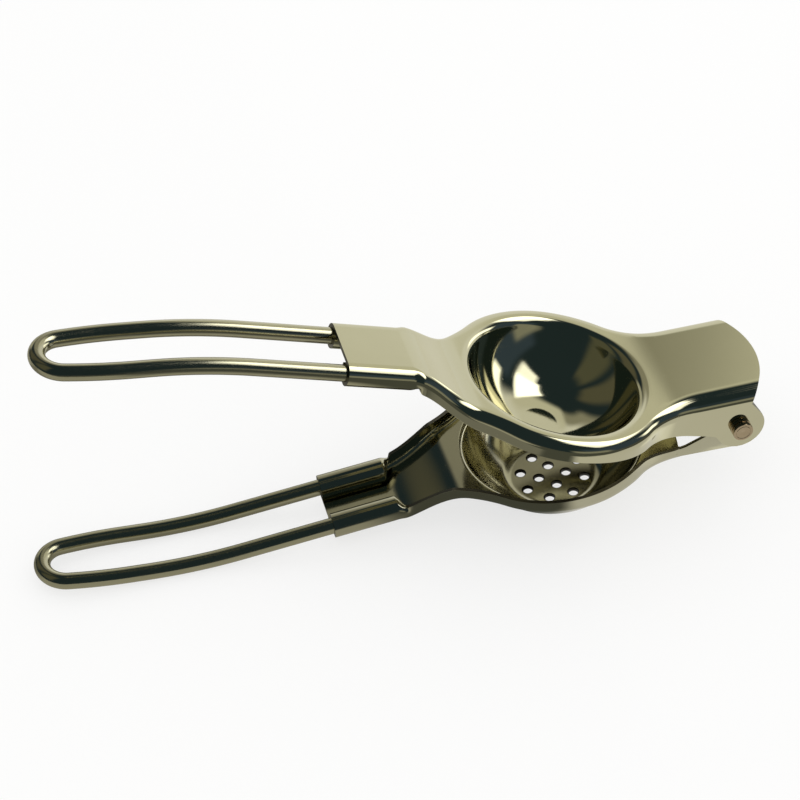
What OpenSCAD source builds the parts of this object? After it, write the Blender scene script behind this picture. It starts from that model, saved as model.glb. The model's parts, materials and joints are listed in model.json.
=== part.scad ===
// Hinged lemon squeezer: two pressed sheet jaws, a bent wire handle rolled into
// each jaw, and one headed hinge pin.
//
// Jaw space: the pin axis is the Y axis, the handles run towards -X, and Z = 0 is
// the plane in which the closed jaws meet. The assembled part stands as it lies on
// a table: +Z up, the lower jaw's base and the lower handle on Z = 0.

/* [Sheet] */
// Thickness of the pressed steel sheet
sheet_t = 1.2; // [0.8:0.1:1.6]
// Outside radius of the bend between plate and flange on the lower jaw
bend_r = 3; // [2.4:0.1:3.6]
// The same on the upper jaw beside its bowl
upper_bend_r = 3.9; // [3:0.1:4]
// The same at the upper jaw's ears
ear_bend_r = 5; // [4:0.1:5.5]

/* [Jaw outline] */
// Distance from the pin to the centre of the bowls
bowl_d = 55; // [52:0.5:60]
// Outside radius of the upper jaw around its bowl
ring_r = 34; // [33.5:0.5:38]
// Half of the upper jaw's width at the hinge
hinge_half_w = 19; // [16:0.5:22]
// Radius of the hollow between the upper ring and the hinge plate, seen from above
hinge_neck_r = 24; // [20:1:26]
// Radius of the hollow between the upper ring and the handle, seen from above
upper_neck_r = 50; // [46:1:56]
// The same for the lower jaw, smaller so that it nests
lower_neck_r = 43; // [40:1:44]
// Side clearance between the lower jaw and the skirt of the upper one
nest_gap = 0.5; // [0.4:0.05:0.6]
// Side clearance between the two jaws' ears
ear_gap = 0.2; // [0.1:0.05:0.4]

/* [Jaw profile] */
// Height of the upper jaw's outer face above the closing plane at the bowl centre
upper_ring_h = 3.2; // [2.4:0.1:4]
// The same for the lower jaw's outer face, below the closing plane
lower_ring_h = 4.7; // [4:0.1:6]
// Angle between each ring and the closing plane
ring_tilt = 1.6; // [0:0.2:2]
// Height of the upper jaw's outer face over the pin axis
upper_hinge_h = 14.1; // [13:0.1:15]
// Slope of the upper hinge plate
upper_hinge_tilt = 17; // [14:1:19]
// Distance from the pin at which the upper hinge plate starts to curve down
upper_slope_d = 22.5; // [18:0.5:24]
// Distance from the pin at which that curve has run out into the ring
upper_rise_d = 49; // [42:1:50]
// Depth of the lower jaw's outer face under the pin axis
lower_hinge_h = 9.5; // [9:0.1:11]
// Slope of the lower hinge plate
lower_hinge_tilt = 2; // [0:1:4]
// Distance from the pin at which the lower hinge plate starts to curve up
lower_slope_d = 18; // [14:0.5:20]
// Distance from the pin at which that curve has run out into the ring
lower_rise_d = 44; // [38:1:46]
// Height of the upper jaw's flange beside and behind the bowl
upper_flange_h = 6; // [5:0.2:7]
// Height of the lower jaw's flange behind the bowl
lower_flange_h = 5.8; // [4.8:0.2:6.2]
// How far the lower flange stands up past the closing plane beside the bowl
flange_rise = 1; // [0.2:0.1:1.1]
// Depth of that flange's edge under the closing plane at the hinge
lower_skirt_z = 4; // [3:0.5:5]
// Depth of the upper skirt below the closing plane at the hinge
skirt_z = 4; // [3:0.5:5]

/* [Bowls] */
// How much further from the pin the upper bowl's centre lies than the lower's
upper_bowl_shift = 0.9; // [0:0.1:1]
// Radius of the upper bowl's mouth
upper_mouth_r = 27.4; // [26.4:0.1:27.4]
// Depth of the upper bowl
upper_bowl_h = 18.5; // [17:0.5:20]
// Radius of the upper bowl's flat bottom
upper_base_r = 9; // [8:0.5:12]
// Radius of the lower bowl's mouth
lower_mouth_r = 27.2; // [26.6:0.1:27.6]
// Depth of the lower bowl
lower_bowl_h = 15.4; // [14.5:0.2:17]
// Radius of the lower bowl's flat strainer
lower_base_r = 14; // [13:0.5:16]
// Radius of the rounded edge at the upper mouth
upper_lip_r = 3.5; // [2.4:0.1:3.6]
// Radius of the rounded edge at the lower mouth
lower_lip_r = 2; // [1.8:0.1:2.4]

/* [Strainer holes] */
// Diameter of a juice hole
hole_d = 3; // [2:0.2:4]
// Radius of the inner ring of holes
inner_holes_r = 4.4; // [4:0.1:5]
// Holes in the inner ring
inner_holes = 4; // [3:1:4]
// Radius of the outer ring of holes
outer_holes_r = 10; // [9:0.2:10.6]
// Holes in the outer ring
outer_holes = 8; // [6:1:10]

/* [Handles] */
// Diameter of the handle wire
wire_d = 5; // [4:0.5:6]
// Distance between the two legs of a handle, centre to centre
leg_gap = 17.4; // [16:0.5:20]
// Distance from the pin to the mouth of the rolled sockets
socket_d = 127; // [124:1:132]
// Length of the rolled sockets
socket_l = 20; // [16:1:24]
// Height of the wire over the closing plane at the socket mouth
wire_h = 7.7; // [7:0.1:9]
// Slope of the sockets away from the closing plane
socket_tilt = 2.1; // [1:0.1:3]
// Clearance between wire and rolled socket, on the radius
socket_gap = 0.05; // [0.02:0.01:0.1]
// How far round the wire the sheet is rolled
roll_angle = 290; // [270:5:300]
// Length of the straight wire outside the socket
grip_straight = 28; // [20:1:40]
// Radius of the long bend in the grip
grip_bend_r = 160; // [120:5:200]
// Angle of the long bend in the grip
grip_bend = 10.3; // [8:0.1:11]
// Length of the straight wire after the long bend
grip_end = 5.5; // [2:0.5:10]
// Radius with which the two legs draw together
leg_curve_r = 150; // [120:5:200]
// Angle through which the two legs draw together
leg_curve = 7.2; // [5:0.2:9]

/* [Hinge] */
// Diameter of the pin
pin_d = 4; // [3:0.5:5]
// Diameter of the pin's two heads
head_d = 6.4; // [6:0.1:8]
// Height of a pin head
head_h = 2.4; // [1.5:0.1:3.5]
// Chamfer round a pin head
head_chamfer = 0.5; // [0.2:0.1:0.8]
// Running clearance between pin and upper ears, on the radius
pin_gap = 0.05; // [0.02:0.01:0.1]
// Side play between pin heads and upper ears
head_gap = 0.1; // [0.05:0.05:0.2]
// Radius of the upper ears round the pin
upper_ear_r = 7.7; // [7:0.1:8.5]
// Radius of the lower ears round the pin
lower_ear_r = 7.2; // [6.5:0.1:7.5]
// How far the lower ears' lower edge hangs below that radius
lower_ear_drop = 1.6; // [0.5:0.1:2]
// Radius of the hollow between ear and skirt
ear_fillet_r = 3; // [2:0.5:4]
// How far the upper plate's rounded end reaches past the pin
tail_l = 6.2; // [6:0.2:8]
// Radius of the upper plate's rounded end, seen from above
tail_r = 30; // [26:1:36]
// Distance from the pin to the end of the lower plate
lower_plate_d = 16.5; // [16:0.5:18]
// Radius of the lower plate's rounded end, seen from above
lower_end_r = 60; // [50:5:100]

/* [Pose] */
// Angle between the jaws in the stored pose
open_angle = 20.3; // [0:0.1:160]

/* [Hidden] */
$fn = 96;
steel = [0.72, 0.70, 0.60];
dark_steel = [0.42, 0.41, 0.33];

wire_r = wire_d / 2;
roll_r = wire_r + socket_gap + sheet_t;
// The rolls stand a little inside the flanges they grow from
roll_tuck = 0.15;
neck_half_w = leg_gap / 2 + roll_r + roll_tuck;
lower_ring_r = ring_r - sheet_t - nest_gap;
lower_hinge_half_w = hinge_half_w - sheet_t - ear_gap;
roll_start_d = socket_d - socket_l;
// Overlaps between the pieces of one solid, and the hair's breadth that keeps
// their faces from lying in one plane
lap = 0.6;
bend_lap = 0.1;
hair = 0.03;
shell_end_d = roll_start_d + lap;
// The lower hollow lies inside the upper one
lower_hinge_neck_r = hinge_neck_r + sheet_t + ear_gap;
// Length of the ring before and behind the middle of the lower bowl
ring_reach = 29.6;
ring_near_d = bowl_d - ring_reach;
ring_far_d = bowl_d + ring_reach;
// How far the bowls' window in the ribs reaches past that on the handle's side
window_reach = 1.6;
// Between these distances from the pin the lower flange's edge climbs
skirt_end_d = 19;
rise_end_d = 38;
// Between these distances from the pin the upper bend opens towards the ears
ear_bend_d = 12;
ring_bend_d = 30;
// How far the flat ears reach into the lower flanges, and how far below the
// plate's face their edge starts
ear_root_l = 0.9;
ear_step = 1.6;
// Corners of the lower ears' upper edge, between flange and round
ear_edge = [[-17, 3.8], [-9, 1]];
// How far past its touching point an upper ear's front edge runs into the round
ear_tuck_angle = 4;
// Least height of the straight flange under its bend
flange_min = 0.2;
bend_steps = 4;
flat_steps = 8;
// Half of the distance over which the outline's slope is taken
slope_step = 0.1;
// How near the ring's ends a station counts as lying on them
window_slack = 0.4;

// ---- side profile and outline of a jaw, by distance d from the pin ----

function ring_half_w(up) = up ? ring_r : lower_ring_r;
function hinge_w(up) = up ? hinge_half_w : lower_hinge_half_w;
function hinge_hollow_r(up) = up ? hinge_neck_r : lower_hinge_neck_r;
function handle_neck_r(up) = up ? upper_neck_r : lower_neck_r;

function smooth(t) = let (s = max(0, min(1, t))) s * s * (3 - 2 * s);
// Plate height between (d1, h1) and (d2, h2) with slopes m1 and m2 at the ends
function eased(d, d1, h1, m1, d2, h2, m2) =
    let (s = d2 - d1, t = (d - d1) / s, u = 1 - t)
    h1 * u * u * (1 + 2 * t) + m1 * s * t * u * u + h2 * t * t * (3 - 2 * t) - m2 * s * t * t * u;

function ring_h(up, d) = (up ? upper_ring_h : lower_ring_h) + (bowl_d - d) * tan(ring_tilt);
function hinge_tilt(up) = up ? upper_hinge_tilt : lower_hinge_tilt;
function hinge_h(up, d) = (up ? upper_hinge_h : lower_hinge_h) - d * tan(hinge_tilt(up));
function slope_d(up) = up ? upper_slope_d : lower_slope_d;
function rise_d(up) = up ? upper_rise_d : lower_rise_d;
function wire_z(d) = wire_h + (d - socket_d) * tan(socket_tilt);
function socket_h(d) = wire_z(d) + roll_r / cos(socket_tilt) + hair;

// Height of a jaw's outer face over the closing plane
function plate_h(up, d) =
    d <= slope_d(up) ? hinge_h(up, d)
    : d < rise_d(up) ? eased(d, slope_d(up), hinge_h(up, slope_d(up)), -tan(hinge_tilt(up)),
                             rise_d(up), ring_h(up, rise_d(up)), -tan(ring_tilt))
    : d <= ring_far_d ? ring_h(up, d)
    : d < roll_start_d ? eased(d, ring_far_d, ring_h(up, ring_far_d), -tan(ring_tilt),
                               roll_start_d, socket_h(roll_start_d), tan(socket_tilt))
    : socket_h(d);

// Half width of a jaw: a disc that runs by two hollow arcs into straight sides
function neck_run(r, w, neck_r) = sqrt(pow(r + neck_r, 2) - pow(w + neck_r, 2));
function half_w(up, d) =
    let (r = ring_half_w(up), w = hinge_w(up), hollow_r = hinge_hollow_r(up),
         neck_r = handle_neck_r(up), run_h = neck_run(r, w, hollow_r),
         run_n = neck_run(r, neck_half_w, neck_r), e = d - bowl_d)
    e <= -run_h ? w
    : e < -run_h * r / (r + hollow_r)
        ? w + hollow_r - sqrt(pow(hollow_r, 2) - pow(e + run_h, 2))
    : e <= run_n * r / (r + neck_r) ? sqrt(r * r - e * e)
    : e < run_n ? neck_half_w + neck_r - sqrt(pow(neck_r, 2) - pow(run_n - e, 2))
    : neck_half_w;

// Height of the flange's free edge
function flange_z(up, d) =
    let (s = smooth((bowl_d - d) / ring_reach),
         climb = smooth((d - skirt_end_d) / (rise_end_d - skirt_end_d)))
    !up && d < bowl_d ? lower_skirt_z * (1 - climb) - flange_rise * climb
    : !up ? max(plate_h(false, d) - lower_flange_h, -flange_rise)
    : d >= bowl_d ? plate_h(true, d) - upper_flange_h
    : (upper_ring_h - upper_flange_h) * (1 - s) - skirt_z * s;

// Outside radius of the bend between plate and flange
function bend(up, d) =
    let (to_ears = smooth((ring_bend_d - d) / (ring_bend_d - ear_bend_d)),
         to_neck = smooth((d - bowl_d) / ring_reach))
    !up ? bend_r
    : upper_bend_r + (ear_bend_r - upper_bend_r) * to_ears + (bend_r - upper_bend_r) * to_neck;

// ---- bowl profile: [radius, depth] under the mouth's face, grown by the sheet ----

function base_r(up) = up ? upper_base_r : lower_base_r;
function mouth_r(up) = up ? upper_mouth_r : lower_mouth_r;
function bowl_h(up) = up ? upper_bowl_h : lower_bowl_h;
function lip_r(up) = up ? upper_lip_r : lower_lip_r;
function centre_d(up) = up ? bowl_d + upper_bowl_shift : bowl_d;
// Height of the wall's sphere centre over the mouth's face
function ball_z(up) = (pow(mouth_r(up), 2) - pow(base_r(up), 2) - pow(bowl_h(up), 2))
                      / (2 * bowl_h(up));
function ball_r(up) = sqrt(pow(mouth_r(up), 2) + pow(ball_z(up), 2));
function lip_centre_r(up) = sqrt(pow(ball_r(up) + lip_r(up), 2) - pow(ball_z(up) + lip_r(up), 2));
function wall_angle(up) = atan2(lip_centre_r(up), ball_z(up) + lip_r(up));
function base_angle(up, grow) = acos((ball_z(up) + bowl_h(up) + grow) / (ball_r(up) + grow));

lip_steps = 3;
wall_steps = 6;
function bowl_point(up, grow, k) =
    k <= lip_steps
    ? let (a = wall_angle(up) * k / lip_steps, r = lip_r(up) - grow)
      [lip_centre_r(up) - r * sin(a), lip_r(up) - r * cos(a)]
    : let (t = (k - lip_steps) / wall_steps,
           a = wall_angle(up) * (1 - t) + base_angle(up, grow) * t)
      [(ball_r(up) + grow) * sin(a), (ball_r(up) + grow) * cos(a) - ball_z(up)];

// ---- the pressed sheet of a jaw ----

// Stations along the outline, closer together where it curves
function stations(up) = [
    for (d = [-8, -4, 0, 4, 8, 12, 15, 18, 20.5, 23.2, 25.5, 28, 30.5, 33, 36, 39, 42, 46, 50, 55,
              60, 64, 68, 71.5, 75, 78, 81, 84, 87, 90, 93, 96, 99, 102]) d * bowl_d / 55,
    shell_end_d];

// One rib of the sheet at station d: inset 0 is the outer face, sheet_t the inner
function rib(up, d, inset) =
    let (w = half_w(up, d),
         m = (half_w(up, d + slope_step) - half_w(up, d - slope_step)) / (2 * slope_step),
         l = sqrt(1 + m * m), b = bend(up, d), de = d + b * m / l, we = w - b / l,
         h = plate_h(up, de), r = b - inset,
         side = [[de - r * m / l, we + r / l, min(flange_z(up, d), h - b - flange_min)],
                 for (k = [bend_steps:-1:0]) let (a = 90 * k / bend_steps)
                     [de - r * sin(a) * m / l, we + r * sin(a) / l, h - b + r * cos(a)]])
    [for (p = side) [-p[0], -p[1], p[2]],
     for (k = [1:flat_steps - 1]) [-de, we * (2 * k / flat_steps - 1), h - inset],
     for (k = [len(side) - 1:-1:0]) [-side[k][0], side[k][1], side[k][2]]];

module pressed_sheet(up) {
    ds = stations(up);
    rows = len(ds);
    cols = 2 * bend_steps + flat_steps + 3;
    c1 = bend_steps + 1;
    c2 = c1 + flat_steps;
    faces_out = [for (inset = [0, sheet_t]) [for (d = ds) each rib(up, d, inset)]];
    // The window in the ribs that the bowl fills
    window_near = ring_near_d + window_slack;
    window_far = ring_far_d + window_reach - window_slack;
    r1 = max([for (i = [0:rows - 1]) if (-faces_out[0][i * cols + c1][0] <= window_near) i]);
    r2 = min([for (i = [0:rows - 1]) if (-faces_out[0][i * cols + c1][0] >= window_far) i]);
    frame = concat([for (c = [c1:c2 - 1]) r1 * cols + c], [for (i = [r1:r2 - 1]) i * cols + c2],
                   [for (c = [c2:-1:c1 + 1]) r2 * cols + c], [for (i = [r2:-1:r1 + 1]) i * cols + c1]);
    n = len(frame);
    rings = lip_steps + wall_steps + 1;
    bowl = [for (f = [0, 1]) [
        for (k = [0:rings - 1])
            let (grow = (f == 0) == up ? 0 : sheet_t, p = bowl_point(up, grow, k),
                 lift = 1 - max(0, k - lip_steps) / wall_steps)
            for (i = frame)
                let (q = faces_out[0][i], a = atan2(q[1], q[0] + centre_d(up)),
                     x = -centre_d(up) + p[0] * cos(a),
                     h = ring_h(up, -x) * (1 - lift) + plate_h(up, -x) * lift)
                [x, p[0] * sin(a), up ? h - p[1] : h - sheet_t + p[1]]]];
    layer = rows * cols + rings * n;
    function ring_at(k, j) = k < 0 ? frame[j % n] : rows * cols + k * n + j % n;
    quads = concat(
        [for (i = [0:rows - 2], c = [0:cols - 2])
            if (!(i >= r1 && i < r2 && c >= c1 && c < c2))
                [i * cols + c, (i + 1) * cols + c, (i + 1) * cols + c + 1, i * cols + c + 1]],
        [for (k = [-1:rings - 2], j = [0:n - 1])
            [ring_at(k, j + 1), ring_at(k, j), ring_at(k + 1, j), ring_at(k + 1, j + 1)]]);
    edge = concat([for (c = [0:cols - 2]) c], [for (i = [0:rows - 2]) i * cols + cols - 1],
                  [for (c = [cols - 1:-1:1]) (rows - 1) * cols + c], [for (i = [rows - 1:-1:1]) i * cols]);
    e = len(edge);
    polyhedron(
        points = concat(faces_out[0], bowl[0], faces_out[1], bowl[1]),
        faces = concat(
            [for (q = quads) [q[1], q[2], q[3]]], [for (q = quads) [q[0], q[1], q[3]]],
            [for (q = quads) [layer + q[2], layer + q[1], layer + q[0]]],
            [for (q = quads) [layer + q[3], layer + q[2], layer + q[0]]],
            [for (j = [0:e - 1]) [edge[(j + 1) % e], layer + edge[(j + 1) % e], edge[j]]],
            [for (j = [0:e - 1]) [layer + edge[(j + 1) % e], layer + edge[j], edge[j]]],
            [[for (j = [n - 1:-1:0]) ring_at(rings - 1, j)]],
            [[for (j = [0:n - 1]) layer + ring_at(rings - 1, j)]]));
}

// ---- the rolled ends that hold the wire ----

// Section of one roll: open towards the middle of the handle
module roll_section() {
    difference() {
        circle(r = roll_r);
        circle(r = wire_r + socket_gap);
        polygon([[0, 0], [0, roll_r * 2],
                 [roll_r * 2 * tan(min(360 - roll_angle, 60)), roll_r * 2],
                 [roll_r * 2 * sin(360 - roll_angle), roll_r * 2 * cos(360 - roll_angle)]]);
    }
}

module sockets() {
    translate([-socket_d, 0, wire_h])
        rotate([0, socket_tilt, 0])
            rotate([90, 0, 90])
                linear_extrude(socket_l) {
                    translate([-leg_gap / 2, roll_r - sheet_t])
                        square([leg_gap, sheet_t]);
                    translate([-leg_gap / 2, 0])
                        roll_section();
                    translate([leg_gap / 2, 0])
                        mirror([1, 0])
                            roll_section();
                }
}

// ---- ears ----

module both_ears(half) {
    for (y = [-half, half - sheet_t])
        translate([0, y + sheet_t - hair, 0])
            rotate([90, 0, 0])
                linear_extrude(sheet_t - 2 * hair)
                    children();
}

// The corner where the upper plate's end meets the flat of the ear
tail_x = tail_l - tail_r + sqrt(pow(tail_r, 2) - pow(hinge_half_w, 2));
tail_top = hinge_h(true, -tail_x) - ear_bend_r;

module upper_ear_shape() {
    reach = norm([tail_x, tail_top]);
    a = atan2(tail_top, tail_x) - acos(min(1, upper_ear_r / reach)) - ear_tuck_angle;
    fillet_z = skirt_z + ear_fillet_r - lap / 4;
    fillet_x = sqrt(pow(upper_ear_r + ear_fillet_r, 2) - pow(fillet_z, 2));
    share = upper_ear_r / (upper_ear_r + ear_fillet_r);
    circle(r = upper_ear_r);
    polygon([[0, 0], [upper_ear_r * cos(a), upper_ear_r * sin(a)], [tail_x, tail_top],
             [-upper_ear_r, hinge_h(true, upper_ear_r) - ear_bend_r], [-upper_ear_r, 0]]);
    difference() {
        polygon([[0, 0], [-fillet_x, 0], [-fillet_x, -skirt_z],
                 [-fillet_x * share, -fillet_z * share]]);
        translate([-fillet_x, -fillet_z])
            circle(r = ear_fillet_r);
    }
}

// Drawn like the jaw itself, with the outside of the lower jaw upwards
module lower_ear_shape() {
    root_d = lower_plate_d + lower_end_r + ear_root_l
             - sqrt(pow(lower_end_r, 2) - pow(lower_hinge_half_w, 2));
    circle(r = lower_ear_r);
    translate([-lower_ear_drop, lower_ear_drop])
        circle(r = lower_ear_r);
    polygon([[0, -lower_ear_r], [-lower_ear_drop, lower_ear_drop + lower_ear_r],
             [-root_d, plate_h(false, root_d) - ear_step], [-root_d, flange_z(false, root_d) + lap / 2],
             each ear_edge]);
}

// ---- nodes, drawn in jaw space with their outside upwards ----

module handle() {
    half = leg_gap / 2;
    rotate([0, 0, 180]) translate([socket_d, 0, wire_h]) rotate([0, -socket_tilt, 0]) {
        legs(-socket_l, grip_straight);
        translate([grip_straight, 0, -grip_bend_r]) {
            for (y = [-half, half])
                translate([0, y, 0])
                    rotate([90, 0, 0])
                        wire_bend(grip_bend_r, grip_bend);
            rotate([0, grip_bend, 0]) translate([0, 0, grip_bend_r]) {
                legs(0, grip_end);
                translate([grip_end, 0, 0]) {
                    for (side = [0, 1])
                        mirror([0, side, 0])
                            translate([0, half - leg_curve_r, 0])
                                wire_bend(leg_curve_r, leg_curve);
                    translate([(leg_curve_r - loop_r) * sin(leg_curve), 0, 0])
                        rotate([0, 0, leg_curve - 90])
                            rotate_extrude(angle = 180 - 2 * leg_curve)
                                translate([loop_r, 0])
                                    circle(r = wire_r);
                }
            }
        }
    }
}

// A long bend, a hair thinner than the wire it joins and let into both ends of it
module wire_bend(r, angle) {
    lap_angle = bend_lap / r * 180 / PI;
    rotate([0, 0, 90 - angle - lap_angle])
        rotate_extrude(angle = angle + 2 * lap_angle)
            translate([r, 0])
                circle(r = wire_r - hair);
}

// Two straight legs from x1 to x2
module legs(x1, x2) {
    for (y = [-leg_gap / 2, leg_gap / 2])
        translate([x1, y, 0])
            rotate([0, 90, 0])
                cylinder(h = x2 - x1, r = wire_r);
}

module pin_bore(r) {
    rotate([90, 0, 0])
        cylinder(h = 4 * hinge_half_w, r = r, center = true);
}

// What lies beyond a plate's rounded end, which reaches x
module end_cut(x, r) {
    translate([x - r, 0, -2 * upper_hinge_h])
        difference() {
            translate([r / 2, -r, 0])
                cube([2 * r, 2 * r, 4 * upper_hinge_h]);
            cylinder(h = 8 * upper_hinge_h, r = r, center = true);
        }
}

module juice_holes(count, ring, turn) {
    for (k = [0:count - 1])
        rotate([0, 0, turn + 360 * k / count])
            translate([ring, 0, 0])
                cylinder(h = 6 * sheet_t, d = hole_d, center = true);
}

module upper_jaw() {
    color(steel)
        difference() {
            union() {
                difference() {
                    pressed_sheet(true);
                    end_cut(tail_l, tail_r);
                }
                sockets();
                both_ears(hinge_half_w)
                    upper_ear_shape();
            }
            pin_bore(pin_d / 2 + pin_gap);
        }
}

module lower_jaw() {
    color(steel)
        mirror([0, 0, 1])
            difference() {
                union() {
                    difference() {
                        pressed_sheet(false);
                        end_cut(-lower_plate_d, lower_end_r);
                    }
                    sockets();
                    both_ears(lower_hinge_half_w)
                        lower_ear_shape();
                }
                pin_bore(pin_d / 2);
                translate([-bowl_d, 0, lower_ring_h + lower_bowl_h])
                    rotate([0, -ring_tilt, 0]) {
                        juice_holes(inner_holes, inner_holes_r, 0);
                        juice_holes(outer_holes, outer_holes_r, 180 / outer_holes);
                    }
            }
}

module upper_handle() {
    color(dark_steel)
        handle();
}

module lower_handle() {
    color(dark_steel)
        mirror([0, 0, 1])
            handle();
}

module pin_head() {
    translate([0, 0, hinge_half_w + head_gap])
        rotate_extrude()
            polygon([[0, -head_gap - sheet_t], [pin_d / 2, -head_gap - sheet_t],
                     [pin_d / 2, 0], [head_d / 2, 0],
                     [head_d / 2, head_h - head_chamfer], [head_d / 2 - head_chamfer, head_h],
                     [0, head_h]]);
}

module hinge_pin() {
    color(dark_steel)
        rotate([90, 0, 0]) {
            cylinder(h = 2 * hinge_half_w, d = pin_d, center = true);
            pin_head();
            mirror([0, 0, 1])
                pin_head();
        }
}

// ---- the stored pose: lying on the lower bowl's edge and the lower handle ----

// Outer edge of the lower base, as distance from the pin and depth
edge_grow_r = (ball_r(false) + sheet_t) * sin(base_angle(false, sheet_t));
edge_d = bowl_d + edge_grow_r;
edge_z = ring_h(false, edge_d) + lower_bowl_h;
// Start of the grip's long bend, then the centre of its arc
bend_d = socket_d + grip_straight * cos(socket_tilt);
bend_z = wire_h + grip_straight * sin(socket_tilt);
arc_d = bend_d + grip_bend_r * sin(socket_tilt);
arc_z = bend_z - grip_bend_r * cos(socket_tilt);
// The table line touches that arc's outside and passes through the base's edge
rest_tilt = atan2(edge_z - arc_z, arc_d - edge_d)
            - asin((grip_bend_r + wire_r) / norm([arc_d - edge_d, edge_z - arc_z]));
lift = edge_z * cos(rest_tilt) + edge_d * sin(rest_tilt);

// Centre of the wire at the handle's far end
end_tilt = socket_tilt - grip_bend;
loop_r = (leg_gap / 2 - leg_curve_r + leg_curve_r * cos(leg_curve)) / cos(leg_curve);
end_run = grip_end + (leg_curve_r - loop_r) * sin(leg_curve) + loop_r;
end_d = arc_d - grip_bend_r * sin(end_tilt) + end_run * cos(end_tilt);
end_z = arc_z + grip_bend_r * cos(end_tilt) + end_run * sin(end_tilt);
x_min = end_z * sin(rest_tilt) - end_d * cos(rest_tilt) - wire_r;
net_tilt = open_angle - rest_tilt;
x_max = max(upper_ear_r, tail_l * cos(net_tilt) + hinge_h(true, -tail_l) * sin(net_tilt));

module stand() {
    translate([-(x_min + x_max) / 2, 0, lift])
        rotate([0, -rest_tilt, 0])
            children();
}

module opened() {
    rotate([0, open_angle, 0])
        children();
}

stand() lower_jaw();
stand() lower_handle();
stand() hinge_pin();
stand() opened() upper_jaw();
stand() opened() upper_handle();
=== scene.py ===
import json
import math

import bpy
from mathutils import Matrix, Vector


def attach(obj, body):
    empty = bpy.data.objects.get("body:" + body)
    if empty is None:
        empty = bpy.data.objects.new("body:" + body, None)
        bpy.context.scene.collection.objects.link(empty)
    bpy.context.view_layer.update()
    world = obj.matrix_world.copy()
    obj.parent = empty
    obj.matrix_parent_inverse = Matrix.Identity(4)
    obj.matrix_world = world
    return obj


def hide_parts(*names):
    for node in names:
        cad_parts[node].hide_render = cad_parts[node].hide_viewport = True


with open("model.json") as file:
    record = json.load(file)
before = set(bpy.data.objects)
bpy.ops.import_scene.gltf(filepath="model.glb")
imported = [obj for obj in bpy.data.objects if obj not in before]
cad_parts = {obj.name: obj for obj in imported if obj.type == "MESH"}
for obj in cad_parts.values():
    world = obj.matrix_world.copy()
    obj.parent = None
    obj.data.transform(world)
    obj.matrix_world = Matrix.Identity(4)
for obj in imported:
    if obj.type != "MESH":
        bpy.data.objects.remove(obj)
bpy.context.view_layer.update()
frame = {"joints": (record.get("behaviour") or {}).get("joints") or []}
hinge = Vector(frame["joints"][0]["pos_m"])


# ---------------------------------------------------------------- the camera
# The squeezer is seen from its near side and well above, with a long lens.

CAMERA_AZIMUTH = -14.42
CAMERA_ELEVATION = 41.46
CAMERA_ROLL = -0.81
CAMERA_DISTANCE = 0.7155
CAMERA_AIM = Vector((0.00486, 0.01616, 0.0300))
CAMERA_LENS = 105.13

azimuth = math.radians(CAMERA_AZIMUTH)
elevation = math.radians(CAMERA_ELEVATION)
towards_camera = Vector((math.sin(azimuth) * math.cos(elevation),
                         -math.cos(azimuth) * math.cos(elevation),
                         math.sin(elevation)))
camera = bpy.data.objects.new("camera", bpy.data.cameras.new("camera"))
bpy.context.collection.objects.link(camera)
camera.data.lens = CAMERA_LENS
camera.data.sensor_width = 36
camera.data.clip_start = 0.01
camera.location = CAMERA_AIM + towards_camera * CAMERA_DISTANCE
camera.rotation_euler = (towards_camera.to_track_quat("Z", "Y").to_matrix()
                         @ Matrix.Rotation(math.radians(CAMERA_ROLL), 3, "Z")).to_euler()
bpy.context.scene.camera = camera


# ------------------------------------------------------ polished stainless sheet
# Both jaws are pressed from 1.2 mm stainless strip, type 304, and buffed to a
# mirror after pressing. The eye sees a warm grey mirror with fine buffing lines
# that run round the bowls and a few pits left by the rolling mill.

def linear(hex_colour):
    """sRGB hex to linear RGBA."""
    parts = [int(hex_colour[i:i + 2], 16) / 255 for i in (1, 3, 5)]
    return [c / 12.92 if c <= 0.04045 else ((c + 0.055) / 1.055) ** 2.4 for c in parts] + [1.0]


def add(material, kind, settings=None, links=None, **inputs):
    """Adds a node, sets its properties and inputs, and links others into it."""
    tree = material.node_tree
    node = tree.nodes.new(kind)
    for name, value in (settings or {}).items():
        setattr(node, name, value)
    for name, value in inputs.items():
        node.inputs[name.replace("_", " ")].default_value = value
    for name, source in (links or {}).items():
        tree.links.new(source, node.inputs[name])
    return node


MM = 0.001
BOWL_D = 55 * MM


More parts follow.
